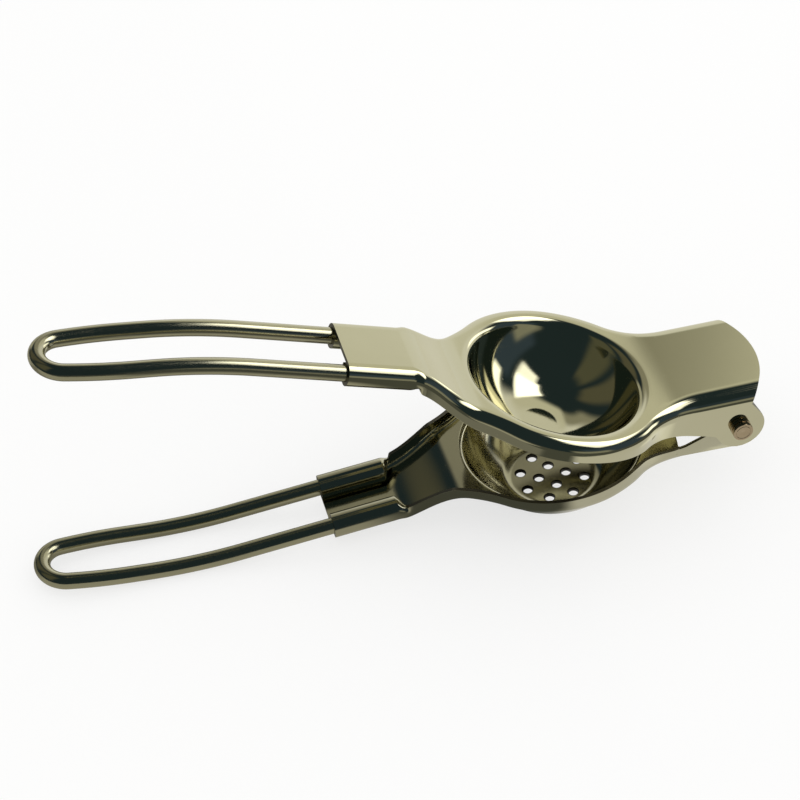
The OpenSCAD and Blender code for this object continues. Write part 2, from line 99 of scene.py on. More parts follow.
def stainless(name, colour, smear_colour, roughness, buff_mm, centre):
    """Buffed 304: mirror, faint smears of haze, buffing lines round an upright axis."""
    steel = bpy.data.materials.new(name)
    steel.use_nodes = True
    shader = steel.node_tree.nodes["Principled BSDF"]
    shader.inputs["Metallic"].default_value = 1.0
    place = add(steel, "ShaderNodeTexCoord").outputs["Object"]
    # Haze: hand marks and buffing compound, patches about 12 mm wide
    haze = add(steel, "ShaderNodeTexNoise", links={"Vector": place}, Scale=1 / (12 * MM), Detail=4.0)
    tone = add(steel, "ShaderNodeMix", {"data_type": "RGBA"}, {0: haze.outputs["Fac"]})
    tone.inputs[6].default_value = linear(colour)
    tone.inputs[7].default_value = linear(smear_colour)
    rough = add(steel, "ShaderNodeMapRange", links={"Value": haze.outputs["Fac"]},
                From_Min=0.3, From_Max=0.75, To_Min=roughness * 0.7, To_Max=roughness * 1.5)
    # Buffing lines: rings round the bowl, drawn coarser than the real 0.05 mm to show
    offset = add(steel, "ShaderNodeVectorMath", {"operation": "SUBTRACT"}, {0: place})
    offset.inputs[1].default_value = centre
    flat = add(steel, "ShaderNodeVectorMath", {"operation": "MULTIPLY"}, {0: offset.outputs[0]})
    flat.inputs[1].default_value = (1, 1, 0)
    radius = add(steel, "ShaderNodeVectorMath", {"operation": "LENGTH"}, {0: flat.outputs[0]})
    wobble = add(steel, "ShaderNodeTexNoise", links={"Vector": place}, Scale=1 / (9 * MM), Detail=2.0)
    drift = add(steel, "ShaderNodeMath", {"operation": "MULTIPLY_ADD"},
                {0: wobble.outputs["Fac"], 2: radius.outputs["Value"]})
    drift.inputs[1].default_value = 3 * MM
    rings = add(steel, "ShaderNodeCombineXYZ", links={"X": drift.outputs[0]})
    lines = add(steel, "ShaderNodeTexNoise", links={"Vector": rings.outputs[0]},
                Scale=1 / (buff_mm * MM), Detail=3.0, Roughness=0.7)
    # Mill pits: sparse specks 0.3 mm wide
    pits = add(steel, "ShaderNodeTexVoronoi", links={"Vector": place}, Scale=1 / (3.2 * MM))
    pit = add(steel, "ShaderNodeMapRange", links={"Value": pits.outputs["Distance"]},
              From_Min=0.03, From_Max=0.07, To_Min=0.0, To_Max=1.0)
    buffed = add(steel, "ShaderNodeBump", links={"Height": lines.outputs["Fac"]},
                 Strength=0.06, Distance=0.05 * MM)
    pitted = add(steel, "ShaderNodeBump", links={"Height": pit.outputs[0], "Normal": buffed.outputs[0]},
                 Strength=0.25, Distance=0.03 * MM)
    steel.node_tree.links.new(tone.outputs[2], shader.inputs["Base Color"])
    steel.node_tree.links.new(rough.outputs[0], shader.inputs["Roughness"])
    steel.node_tree.links.new(pitted.outputs[0], shader.inputs["Normal"])
    return steel


bowl_place = hinge - Vector((BOWL_D, 0, 0))
buffed_sheet = stainless("buffed_stainless_sheet", "#c9c5a6", "#c3bfa0", 0.055, 0.35, bowl_place)
# The lower jaw had one buffing less and is duller, and its colour is painted darker than the upper jaw's:
# painted shade of the jaw that lies under the other
dull_painted_shade_sheet = stainless("painted_shade_dull_stainless", "#bdbba3", "#b7b195", 0.12, 0.5, bowl_place)
# Cut metal: the sheared rims, and the walls of the punched holes, painted near black as painted shade inside
# the holes
sheared_edge = stainless("sheared_stainless_edge", "#77746a", "#5d5a50", 0.34, 0.3, bowl_place)
painted_shade_hole_edge = stainless("hole_walls_painted_shade", "#2f2d26", "#24221c", 0.4, 0.3, bowl_place)


# ------------------------------------------------------------ the two pressed jaws
# Each jaw is one blank: a bowl drawn in the middle, the edge turned over as a
# flange, the narrow end rolled round the handle wire and the wide end bent into
# two ears. The upper jaw fits over the lower one like a lid.

SHEET = 1.2
RING_TILT = 1.6
LEG_GAP = 17.4
WIRE_R = 2.5
SOCKET_D = 127
SOCKET_L = 20
WIRE_H = 7.7
SOCKET_TILT = 2.1
ROLL_R = WIRE_R + 0.05 + SHEET
ROLL_ANGLE = 290
NECK_W = LEG_GAP / 2 + ROLL_R + 0.15
RING_REACH = 29.6
ROLL_START = SOCKET_D - SOCKET_L

# Outline, heights along the jaw, bends, bowl, and the plate's end, in mm and degrees
UPPER = dict(ring_r=34, hinge_w=19, hollow_r=24, neck_r=50,
             ring_h=3.2, hinge_h=14.1, hinge_tilt=17, slope_d=22.5, rise_d=49,
             ring_bend=3.9, ear_bend=5,
             centre_d=55.9, mouth_r=27.4, lip_r=3.5, foot_r=16, bowl_h=18.5, base_r=9, oval=0.94,
             end_x=6.2, end_r=30, ears_d=16)
LOWER = dict(ring_r=32.3, hinge_w=17.6, hollow_r=25.4, neck_r=43,
             ring_h=4.7, hinge_h=9.5, hinge_tilt=2, slope_d=18, rise_d=44,
             ring_bend=3, ear_bend=3,
             centre_d=55, mouth_r=27.2, lip_r=2, foot_r=7, bowl_h=15.4, base_r=14, oval=1.0,
             end_x=-16.5, end_r=60, ears_d=21)
NECK_BEND = 3
UPPER_FLANGE = 6.0
LOWER_FLANGE = 5.8
LOWER_RISE = 1.0
SKIRT_Z = 4.0
EAR_R = 7.7
EAR_FILLET = 3.0
EAR_STOP = -52
END_FALL = 0.45
EDGE_ROUND = 0.22
REST_D = BOWL_D / MM


def slope(degrees):
    """Rise per mm of a plate tilted so many degrees."""
    return math.tan(math.radians(degrees))


def eased(d, d1, h1, m1, d2, h2, m2):
    """Height between two heights with given slopes."""
    s = d2 - d1
    t = (d - d1) / s
    u = 1 - t
    return h1 * u * u * (1 + 2 * t) + m1 * s * t * u * u + h2 * t * t * (3 - 2 * t) - m2 * s * t * t * u


def wire_z(d):
    """Height of the wire's middle inside the sockets, d mm from the pin."""
    return WIRE_H + (d - SOCKET_D) * slope(SOCKET_TILT)


def smooth(t):
    """0 to 1 with a soft start and stop."""
    t = max(0.0, min(1.0, t))
    return t * t * (3 - 2 * t)


def bend_r(jaw, d):
    """Outside radius of the bend between plate and flange."""
    return (jaw["ring_bend"] + (jaw["ear_bend"] - jaw["ring_bend"]) * smooth((30 - d) / 18)
            + (NECK_BEND - jaw["ring_bend"]) * smooth((d - REST_D) / RING_REACH))


def plate_h(jaw, d):
    """Height of a jaw's outer face over the closing plane, d mm from the pin."""
    far = REST_D + RING_REACH
    foot, rise = jaw["slope_d"], jaw["rise_d"]
    ring = lambda at: jaw["ring_h"] + (REST_D - at) * slope(RING_TILT)
    plate = lambda at: jaw["hinge_h"] - at * slope(jaw["hinge_tilt"])
    if d <= foot:
        return plate(d)
    if d < rise:
        return eased(d, foot, plate(foot), -slope(jaw["hinge_tilt"]),
                     rise, ring(rise), -slope(RING_TILT))
    if d <= far:
        return ring(d)
    top = wire_z(ROLL_START) + ROLL_R
    if d < ROLL_START:
        return eased(d, far, ring(far), -slope(RING_TILT), ROLL_START, top, slope(SOCKET_TILT))
    return wire_z(d) + ROLL_R


def half_w(jaw, d):
    """Half of a jaw's width: a disc that runs by hollow arcs into straight sides."""
    r, w, hollow, neck = jaw["ring_r"], jaw["hinge_w"], jaw["hollow_r"], jaw["neck_r"]
    run_h = math.sqrt((r + hollow) ** 2 - (w + hollow) ** 2)
    run_n = math.sqrt((r + neck) ** 2 - (NECK_W + neck) ** 2)
    e = d - REST_D
    if e <= -run_h:
        return w
    if e < -run_h * r / (r + hollow):
        return w + hollow - math.sqrt(hollow ** 2 - (e + run_h) ** 2)
    if e <= run_n * r / (r + neck):
        return math.sqrt(r * r - e * e)
    if e < run_n:
        return NECK_W + neck - math.sqrt(neck ** 2 - (run_n - e) ** 2)
    return NECK_W


def flange_z(jaw, d):
    """Height of the flange's free edge."""
    if jaw is LOWER and d < REST_D:
        climb = smooth((d - 19) / 19)
        return SKIRT_Z * (1 - climb) - LOWER_RISE * climb
    if jaw is LOWER:
        return max(plate_h(jaw, d) - LOWER_FLANGE, -LOWER_RISE)
    if d >= REST_D:
        return plate_h(jaw, d) - UPPER_FLANGE
    s = smooth((REST_D - d) / RING_REACH)
    return (jaw["ring_h"] - UPPER_FLANGE) * (1 - s) - SKIRT_Z * s


def even(points, count):
    """count + 1 points at equal steps along a line of points."""
    lengths = [0.0]
    for p, q in zip(points, points[1:]):
        lengths.append(lengths[-1] + math.dist(p, q))
    found, k = [], 0
    for i in range(count + 1):
        at = lengths[-1] * i / count
        while k < len(points) - 2 and lengths[k + 1] < at:
            k += 1
        t = (at - lengths[k]) / (lengths[k + 1] - lengths[k])
        found.append(tuple(a + (b - a) * t for a, b in zip(points[k], points[k + 1])))
    return found


FLAT_STEPS = 20
BEND_STEPS = 9
TAIL_STEPS = 18


def half_rib(jaw, at, inset):
    """One half of the sheet across the jaw: plate from the middle out, bend, flange or roll."""
    d = at
    for _ in range(12):
        m = (half_w(jaw, d + 0.05) - half_w(jaw, d - 0.05)) / 0.1
        l = math.sqrt(1 + m * m)
        bend = bend_r(jaw, d)
        d = at - bend * m / l
    w, h, r = half_w(jaw, d), plate_h(jaw, at), bend - inset
    inner_w = w - bend / l
    edge_z = min(flange_z(jaw, d), h - bend - 0.2)
    s = smooth((at - ROLL_START + 4) / 4)
    roll_r = ROLL_R - inset
    points = []
    for k in range(FLAT_STEPS):
        share = k / FLAT_STEPS
        points.append((-at, (inner_w * (1 - s) + LEG_GAP / 2 * s) * share, h - inset))
    for k in range(BEND_STEPS + 1):
        a = math.pi / 2 * k / BEND_STEPS
        bent = (-(at - r * math.sin(a) * m / l), inner_w + r * math.sin(a) / l,
                h - bend + r * math.cos(a))
        rolled = (-at, LEG_GAP / 2 + roll_r * math.sin(a), wire_z(at) + roll_r * math.cos(a))
        points.append(tuple(b * (1 - s) + c * s for b, c in zip(bent, rolled)))
    for k in range(1, TAIL_STEPS + 1):
        share = k / TAIL_STEPS
        a = math.pi / 2 + math.radians(ROLL_ANGLE - 90) * share
        straight = (-(at - r * m / l), inner_w + r / l, h - bend + (edge_z - h + bend) * share)
        rolled = (-at, LEG_GAP / 2 + roll_r * math.sin(a), wire_z(at) + roll_r * math.cos(a))
        points.append(tuple(b * (1 - s) + c * s for b, c in zip(straight, rolled)))
    return points


def arc_end(jaw, y):
    """Where the plate's rounded end lies, y mm from the middle."""
    return jaw["end_x"] - jaw["end_r"] + math.sqrt(jaw["end_r"] ** 2 - y * y)


def ear_end(jaw, start, inset):
    """Ribs from the last straight one to the rounded end, and round the upper ears."""
    steps = 12
    first = half_rib(jaw, start, inset)
    bend = jaw["ear_bend"]
    inner_w, r = half_w(jaw, -arc_end(jaw, jaw["hinge_w"])) - bend, bend - inset
    plate = []
    for k in range(FLAT_STEPS + BEND_STEPS + 1):
        a = math.pi / 2 * max(0, k - FLAT_STEPS) / BEND_STEPS
        y = inner_w * min(k, FLAT_STEPS) / FLAT_STEPS + r * math.sin(a) * (k > FLAT_STEPS)
        x = arc_end(jaw, y)
        if jaw is UPPER and y > inner_w:
            x = arc_end(jaw, inner_w) - END_FALL * (y - inner_w)
        top = jaw["hinge_h"] + x * slope(jaw["hinge_tilt"])
        plate.append((x, y, top - bend + r * math.cos(a) if k >= FLAT_STEPS else top - inset))
    x_top, side, z_top = plate[-1]
    if jaw is LOWER:
        front = [(x_top, z_top + (flange_z(jaw, start) - z_top) * k / TAIL_STEPS)
                 for k in range(TAIL_STEPS + 1)]
        under = [(-start, flange_z(jaw, start)), front[-1]]
    else:
        last = math.radians(EAR_STOP)
        touch = math.atan2(z_top, x_top) - math.acos(EAR_R / math.hypot(x_top, z_top))
        lobe = [(EAR_R * math.cos(touch + (last - touch) * k / 40),
                 EAR_R * math.sin(touch + (last - touch) * k / 40)) for k in range(41)]
        front = even([(x_top, z_top)] + lobe, TAIL_STEPS)
        fillet_z = SKIRT_Z + EAR_FILLET
        fillet_x = math.sqrt((EAR_R + EAR_FILLET) ** 2 - fillet_z ** 2)
        tilt = math.atan2(fillet_x, fillet_z)
        under = [(-start, -SKIRT_Z)]
        under += [(-fillet_x + EAR_FILLET * math.sin(tilt * k / 12),
                   -fillet_z + EAR_FILLET * math.cos(tilt * k / 12)) for k in range(13)]
        begin = math.atan2(-fillet_z, -fillet_x)
        under += [(EAR_R * math.cos(begin + (last - begin) * k / 40),
                   EAR_R * math.sin(begin + (last - begin) * k / 40)) for k in range(1, 41)]
    under = even(under, steps)
    ribs = []
    for i in range(steps, 0, -1):
        u = i / steps
        rib = [tuple(a + (b - a) * u for a, b in zip(p, q))
               for p, q in zip(first, plate)]
        top = rib[-1]
        for k in range(1, TAIL_STEPS + 1):
            v = k / TAIL_STEPS
            back = (-start, first[FLAT_STEPS + BEND_STEPS + k][2])
            bilinear = tuple((1 - u) * ((1 - v) * first[FLAT_STEPS + BEND_STEPS][c] + v * under[0][c // 2])
                             + u * ((1 - v) * plate[-1][c] + v * under[-1][c // 2]) for c in (0, 2))
            y = (1 - u) * first[FLAT_STEPS + BEND_STEPS][1] + u * side
            x = (1 - u) * back[0] + u * front[k][0] + (1 - v) * top[0] + v * under[i][0] - bilinear[0]
            z = (1 - u) * back[1] + u * front[k][1] + (1 - v) * top[2] + v * under[i][1] - bilinear[1]
            rib.append((x, y, z))
        ribs.append(rib)
    return ribs


def steps_between(low, high, step):
    """Even steps from low to high, both included."""
    count = max(1, round((high - low) / step))
    return [low + (high - low) * k / count for k in range(count + 1)]


WALL_STEPS = 26


def bowl_profile(jaw, grow):
    """Radius and depth of the bowl, from the rounded mouth to the middle, grown by the sheet."""
    mouth, base, deep = jaw["mouth_r"], jaw["base_r"], jaw["bowl_h"]
    lip_r, foot_r = jaw["lip_r"], jaw["foot_r"]
    ball_z = (mouth ** 2 - base ** 2 - deep ** 2) / (2 * deep)
    ball = math.hypot(mouth, ball_z)
    lip = math.sqrt((ball + lip_r) ** 2 - (ball_z + lip_r) ** 2)
    turn = math.atan2(lip, ball_z + lip_r)
    round_r = lip_r - grow
    profile = [(lip - round_r * math.sin(turn * k / 10), lip_r - round_r * math.cos(turn * k / 10))
               for k in range(11)]
    foot = math.acos((ball_z + deep - foot_r) / (ball - foot_r))
    profile += [((ball + grow) * math.sin(a), (ball + grow) * math.cos(a) - ball_z)
                for a in (turn + (foot - turn) * k / WALL_STEPS for k in range(1, WALL_STEPS + 1))]
    foot_at = (ball - foot_r) * math.sin(foot)
    profile += [(foot_at + (foot_r + grow) * math.sin(a), deep - foot_r + (foot_r + grow) * math.cos(a))
                for a in (foot * (1 - k / 8) for k in range(1, 9))]
    profile += [(foot_at * share, deep + grow) for share in (0.97, 0.8, 0.5, 0.25)]
    return profile


def one_side(jaw, start, inset):
    """One side of the sheet as points, faces and its rim, in order."""
    near, far = REST_D - RING_REACH + 0.2, REST_D + RING_REACH + 1.4
    halves = ear_end(jaw, start, inset)
    window = []
    for d in (steps_between(start, near, 1.0) + steps_between(near, far, 1.0)[1:]
              + steps_between(far, ROLL_START - 4, 1.0)[1:]
              + steps_between(ROLL_START - 4, ROLL_START, 0.4)[1:]
              + steps_between(ROLL_START, SOCKET_D, 2.0)[1:]):
        if abs(d - near) < 1e-6 or abs(d - far) < 1e-6:
            window.append(len(halves))
        halves.append(half_rib(jaw, d, inset))
    ribs = [[(x, -y, z) for x, y, z in reversed(half[1:])] + half for half in halves]
    wide = len(ribs[0])
    points = [p for rib in ribs for p in rib]
    c1, c2 = BEND_STEPS + TAIL_STEPS, wide - 1 - BEND_STEPS - TAIL_STEPS
    r1, r2 = window
    faces = []
    for i in range(len(ribs) - 1):
        for c in range(wide - 1):
            if not (r1 <= i < r2 and c1 <= c < c2):
                faces.append((i * wide + c, i * wide + c + 1,
                              (i + 1) * wide + c + 1, (i + 1) * wide + c))
    ring = ([r1 * wide + c for c in range(c1, c2)] + [i * wide + c2 for i in range(r1, r2)]
            + [r2 * wide + c for c in range(c2, c1, -1)] + [i * wide + c1 for i in range(r2, r1, -1)])
    outline = [points[i] for i in ring]
    profile = bowl_profile(jaw, inset if jaw is UPPER else SHEET - inset)
    count = len(ring)
    previous = ring
    for share, (r, depth) in [(s, profile[0]) for s in (0.35, 0.7)] + [(1.0, p) for p in profile]:
        sunk = smooth(1.6 * depth / jaw["bowl_h"])
        row = []
        for x, y, _ in outline:
            a = math.atan2(y, x + jaw["centre_d"])
            towards_hinge = jaw["oval"] if math.cos(a) > 0 else 1.0
            px, py = -jaw["centre_d"] + r * math.cos(a) * towards_hinge, r * math.sin(a)
            px, py = x + (px - x) * share, y + (py - y) * share
            h = plate_h(jaw, -px) * (1 - sunk) + (jaw["ring_h"] + (REST_D + px) * slope(RING_TILT)) * sunk
            row.append(len(points))
            points.append((px, py, h - depth if jaw is UPPER else h - SHEET + depth))
        for j in range(count):
            k = (j + 1) % count
            faces.append((previous[j], previous[k], row[k], row[j]))
        previous = row
    faces.append(tuple(previous))
    last = len(ribs) - 1
    rim = ([c for c in range(wide - 1)] + [i * wide + wide - 1 for i in range(last)]
           + [last * wide + c for c in range(wide - 1, 0, -1)] + [i * wide for i in range(last, 0, -1)])
    return points, faces, rim


def press(jaw):
    """The whole sheet, outer side upwards: both sides and the sheared rim between them."""
    start = jaw["ears_d"]
    outer, faces, rim = one_side(jaw, start, 0)
    inner = one_side(jaw, start, SHEET)[0]
    count = len(outer)
    faces += [tuple(count + i for i in reversed(face)) for face in faces]
    faces += [(rim[k - 1], count + rim[k - 1], count + rim[k], rim[k]) for k in range(len(rim))]
    return outer + inner, faces, len(rim)


REST_TILT = 4.8586
OPEN_ANGLE = 20.3


def settle(points, jaw):
    """From jaw space to the row frame: the lower jaw turned over, the upper opened."""
    placed = []
    for x, y, z in points:
        if jaw is LOWER:
            z = -z
        a = math.radians((OPEN_ANGLE if jaw is UPPER else 0) - REST_TILT)
        placed.append(hinge + MM * Vector((x * math.cos(a) + z * math.sin(a), y,
                                           -x * math.sin(a) + z * math.cos(a))))
    return placed


def make(name, points, faces, material, body, node, slot):
    """A mesh piece that stands for a node of the frame; faces turned over with the lower jaw."""
    mesh = bpy.data.meshes.new(name)
    mesh.from_pydata(points, [], faces)
    if body == "lower":
        mesh.flip_normals()
    mesh.update()
    mesh.materials.append(material)
    piece = bpy.data.objects.new(name, mesh)
    bpy.context.collection.objects.link(piece)
    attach(piece, body)
    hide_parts(node)
    return piece


def set_mesh(piece):
    """Leaves the piece as a plain mesh with its modifiers in it."""
    graph = bpy.context.evaluated_depsgraph_get()
    mesh = bpy.data.meshes.new_from_object(piece.evaluated_get(graph))
    piece.modifiers.clear()
    piece.data = mesh
    return mesh


def bake_modifiers(piece, sharp_degrees):
    """Sets the mesh and shades it smooth up to its sharp edges."""
    mesh = set_mesh(piece)
    mesh.shade_smooth()
    mesh.set_sharp_from_angle(angle=math.radians(sharp_degrees))


def keep_flats_flat(piece):
    """Stops the rounded edges from pulling the shading of the flat sheet beside them."""
    flats = piece.modifiers.new("flats", "WEIGHTED_NORMAL")
    flats.keep_sharp = True
    set_mesh(piece)


def round_edges(piece, width):
    """Sheared edges tumbled soft."""
    edge = piece.modifiers.new("edge", "BEVEL")
    edge.width = width * MM
    edge.segments = 2
    edge.limit_method = "ANGLE"
    edge.angle_limit = math.radians(60)


def shear(piece, rim_faces):
    """The last faces of a pressing are its rim, which keeps the look of cut metal."""
    piece.data.materials.append(sheared_edge)
    for face in piece.data.polygons[len(piece.data.polygons) - rim_faces:]:
        face.material_index = 1


upper_points, upper_faces, upper_rim = press(UPPER)
upper_sheet = make("upper_jaw_pressing", settle(upper_points, UPPER), upper_faces,
                   buffed_sheet, "upper", "upper_jaw", "pressed_sheet")
shear(upper_sheet, upper_rim)
round_edges(upper_sheet, EDGE_ROUND)
bake_modifiers(upper_sheet, 50)
keep_flats_flat(upper_sheet)

lower_points, lower_faces, lower_rim = press(LOWER)
lower_sheet = make("lower_jaw_pressing", settle(lower_points, LOWER), lower_faces,
                   dull_painted_shade_sheet, "lower", "lower_jaw", "pressed_sheet")
shear(lower_sheet, lower_rim)

HOLE_R = 1.5
HOLE_SIDES = 32
HOLES = [(4.4, 90 * k) for k in range(4)] + [(10.0, 22.5 + 45 * k) for k in range(8)]
# The punch from above the bowl's bottom to below it: a wide start, the drawn-in edge, the hole
PUNCH = [(-3, HOLE_R + 0.65), (-0.25, HOLE_R + 0.65), (0.0, HOLE_R + 0.35), (0.22, HOLE_R), (4, HOLE_R)]
hole_points, hole_faces = [], []
for ring_r, turn in HOLES:
    a = math.radians(turn)
    cx, cy = -REST_D + ring_r * math.cos(a), ring_r * math.sin(a)
    floor = LOWER["ring_h"] + (REST_D + cx) * slope(RING_TILT) - SHEET + LOWER["bowl_h"]
    base = len(hole_points)
    for level, r in PUNCH:
        hole_points += [(cx + r * math.cos(math.tau * k / HOLE_SIDES),
                         cy + r * math.sin(math.tau * k / HOLE_SIDES), floor + level)
                        for k in range(HOLE_SIDES)]
    for ring in range(len(PUNCH) - 1):
        low = base + ring * HOLE_SIDES
        for k in range(HOLE_SIDES):
            n = (k + 1) % HOLE_SIDES
            hole_faces.append((low + k, low + n, low + HOLE_SIDES + n, low + HOLE_SIDES + k))
    hole_faces.append(tuple(base + k for k in reversed(range(HOLE_SIDES))))
    hole_faces.append(tuple(len(hole_points) - HOLE_SIDES + k for k in range(HOLE_SIDES)))
punch_mesh = bpy.data.meshes.new("punch")
punch_mesh.from_pydata(settle(hole_points, LOWER), [], hole_faces)
punch_mesh.flip_normals()
# The hole walls get the near-black colour: painted shade inside the holes
punch_mesh.materials.append(painted_shade_hole_edge)
punch = bpy.data.objects.new("punch", punch_mesh)
bpy.context.collection.objects.link(punch)
cut = lower_sheet.modifiers.new("juice_holes", "BOOLEAN")
cut.object = punch
cut.solver = "EXACT"
cut.material_mode = "TRANSFER"
round_edges(lower_sheet, EDGE_ROUND)
bake_modifiers(lower_sheet, 30)
keep_flats_flat(lower_sheet)
bpy.data.objects.remove(punch)


# ---------------------------------------------------------------- the lower ears
# Flat tabs of the lower blank that stand inside the upper jaw's ears. They show
# only as a narrow strip under the skirt.

EAR_DROP = 1.6
EAR_STEP = 1.6
LOWER_EAR_R = 7.2
EAR_ROOT = 20.0
EAR_ROOT_H = 4.0
EAR_UNDER = [(-9.0, 1.0), (-17.0, 3.8), (-EAR_ROOT, 4.26)]


def ear_outline():
    """Outline of one lower ear in jaw space: root, fan over the pin, nose, underside."""
    top = plate_h(LOWER, EAR_ROOT)
    low = [(-EAR_ROOT, top - EAR_ROOT_H), (-EAR_ROOT, top - EAR_STEP)]
    fan = [(-EAR_DROP + LOWER_EAR_R * math.cos(a), EAR_DROP + LOWER_EAR_R * math.sin(a))
           for a in steps_between(math.radians(90), math.radians(40), math.radians(-4))]
    nose = [(LOWER_EAR_R * math.cos(a), LOWER_EAR_R * math.sin(a))
            for a in steps_between(math.radians(35), math.radians(-100), math.radians(-5))]
    return low + fan + nose + EAR_UNDER


ear_points, ear_faces = [], []
for side in (-1, 1):
    for depth in (0.03, SHEET - 0.03):
        ear_points += [(x, side * (LOWER["hinge_w"] - depth), z) for x, z in ear_outline()]
count = len(ear_outline())
for k, side in enumerate((-1, 1)):
    b = k * 2 * count
    outer, inner = list(range(b, b + count)), list(range(b + count, b + 2 * count))
    ear_faces.append(tuple(reversed(outer) if side < 0 else outer))
    ear_faces.append(tuple(inner if side < 0 else reversed(inner)))
    for i in range(count):
        j = (i + 1) % count
        quad = (outer[j], inner[j], inner[i], outer[i])
        ear_faces.append(quad if side < 0 else tuple(reversed(quad)))
lower_ears = make("lower_jaw_ears", settle(ear_points, LOWER), ear_faces,
                  dull_painted_shade_sheet, "lower", "lower_jaw", "pressed_sheet")
round_edges(lower_ears, 0.2)
bake_modifiers(lower_ears, 40)


# ---------------------------------------------------------------- the wire handles
# Each handle is one length of 5 mm bright stainless wire, bent to a loop and
# bowed, its two ends pushed into the jaw's rolls and nipped there. The eye sees a
# drawn surface: fine lines along the wire, a little duller than the sheet.

GRIP_STRAIGHT = 28
GRIP_BEND_R = 160
GRIP_BEND = 10.3
GRIP_END = 5.5
LEG_CURVE_R = 150
LEG_CURVE = 7.2


def wire_path():
    """Centre line of the wire from one socket round the loop to the other, in jaw space."""
    half = LEG_GAP / 2
    bow, draw = math.radians(GRIP_BEND), math.radians(LEG_CURVE)
    a = math.radians(SOCKET_TILT)
    loop_r = (half - LEG_CURVE_R + LEG_CURVE_R * math.cos(draw)) / math.cos(draw)
    leg = [(SOCKET_D + s * math.cos(a), half, WIRE_H + s * math.sin(a))
           for s in steps_between(-SOCKET_L + 1, GRIP_STRAIGHT, 3)]
    x0, _, z0 = leg[-1]
    for t in steps_between(0, bow, math.radians(0.5))[1:]:
        leg.append((x0 + GRIP_BEND_R * (math.sin(a) - math.sin(a - t)), half,
                    z0 - GRIP_BEND_R * (math.cos(a) - math.cos(a - t))))
    x0, _, z0 = leg[-1]
    along = (math.cos(a - bow), math.sin(a - bow))
    flat = [(s, half) for s in steps_between(0, GRIP_END, 2)[1:]]
    flat += [(GRIP_END + LEG_CURVE_R * math.sin(g), half - LEG_CURVE_R + LEG_CURVE_R * math.cos(g))
             for g in steps_between(0, draw, math.radians(0.6))[1:]]
    centre = GRIP_END + (LEG_CURVE_R - loop_r) * math.sin(draw)
    flat += [(centre + loop_r * math.sin(g), loop_r * math.cos(g))
             for g in steps_between(draw, math.pi / 2, math.radians(5))[1:]]
    leg += [(x0 + s * along[0], y, z0 + s * along[1]) for s, y in flat]
    leg = [(-d, y, z) for d, y, z in leg]
    return leg + [(x, -y, z) for x, y, z in reversed(leg[:-1])]


def draw_wire(jaw):
    """A round tube along the wire's centre line, with chamfered ends inside the rolls."""
    path = [Vector(p) for p in wire_path()]
    sides = 40
    points, faces, across = [], [], Vector((0, 0, 1))
    for i, p in enumerate(path):
        ahead = (path[min(i + 1, len(path) - 1)] - path[max(i - 1, 0)]).normalized()
        across = (across - ahead * across.dot(ahead)).normalized()
        other = ahead.cross(across)
        for k in range(sides):
            a = math.tau * k / sides
            points.append(p + (across * math.cos(a) + other * math.sin(a)) * WIRE_R)
    for i in range(len(path) - 1):
        for k in range(sides):
            n = (k + 1) % sides
            faces.append((i * sides + k, i * sides + n, (i + 1) * sides + n, (i + 1) * sides + k))
    faces.append(tuple(reversed(range(sides))))
    faces.append(tuple((len(path) - 1) * sides + k for k in range(sides)))
    return settle([tuple(p) for p in points], jaw), faces


drawn_wire = stainless("drawn_stainless_wire", "#c0bca0", "#b4b095", 0.14, 0.7, hinge)
upper_wire = make("upper_handle_wire", *draw_wire(UPPER),
                  drawn_wire, "upper", "upper_handle", "wire")
bake_modifiers(upper_wire, 50)
lower_wire = make("lower_handle_wire", *draw_wire(LOWER),
                  drawn_wire, "lower", "lower_handle", "wire")
bake_modifiers(lower_wire, 50)


# ---------------------------------------------------------------- the hinge pin
# A turned steel pin, headed at both ends, with a faced end that keeps a faint
# ring from the lathe. It is tight in the lower ears and the upper ears turn on it.

PIN_R = 2.0
HEAD_R = 3.2
HEAD_OUT = 21.5
HEAD_IN = 19.1
half_pin = [(0.5, HEAD_OUT - 0.1), (0.75, HEAD_OUT), (2.2, HEAD_OUT),
            (2.3, HEAD_OUT - 0.07), (2.4, HEAD_OUT),
            (HEAD_R - 0.3, HEAD_OUT), (HEAD_R - 0.12, HEAD_OUT - 0.05),
            (HEAD_R - 0.03, HEAD_OUT - 0.16), (HEAD_R, HEAD_OUT - 0.35), (HEAD_R - 0.05, HEAD_IN + 1.15),
            (HEAD_R - 0.35, HEAD_IN + 1.0), (HEAD_R - 0.35, HEAD_IN + 0.6), (HEAD_R, HEAD_IN + 0.5),
            (HEAD_R, HEAD_IN), (PIN_R, HEAD_IN)]
turned = half_pin + [(r, -y) for r, y in reversed(half_pin)]
sides = 64
pin_points, pin_faces = [], []
for r, y in turned:
    pin_points += [(r * math.cos(math.tau * k / sides), y, r * math.sin(math.tau * k / sides))
                   for k in range(sides)]
for i in range(len(turned) - 1):
    for k in range(sides):
        n = (k + 1) % sides
        pin_faces.append((i * sides + k, i * sides + n, (i + 1) * sides + n, (i + 1) * sides + k))
pin_faces += [tuple(reversed(range(sides))), tuple(range(len(pin_points) - sides, len(pin_points)))]
turned_steel = stainless("turned_steel", "#b8a78a", "#9c8a6e", 0.2, 0.3, hinge)
pin = make("hinge_pin_turned", settle(pin_points, LOWER), pin_faces,
           turned_steel, "lower", "hinge_pin", "pin")
bake_modifiers(pin, 30)


# ---------------------------------------------------------------- floor and studio
# A pale table in an even white light. Two cloths that only the steel sees give it
# its dark and bright reflections: a slate tent round the table, with an opening behind
# and windows at the right, and a patched cloth spread over the table itself.

LIT_THROUGH = 0.7

table = bpy.data.materials.new("pale_table")
table.use_nodes = True
table_white = table.node_tree.nodes["Principled BSDF"]
table_white.inputs["Base Color"].default_value = linear("#fafaf8")
table_white.inputs["Roughness"].default_value = 0.8
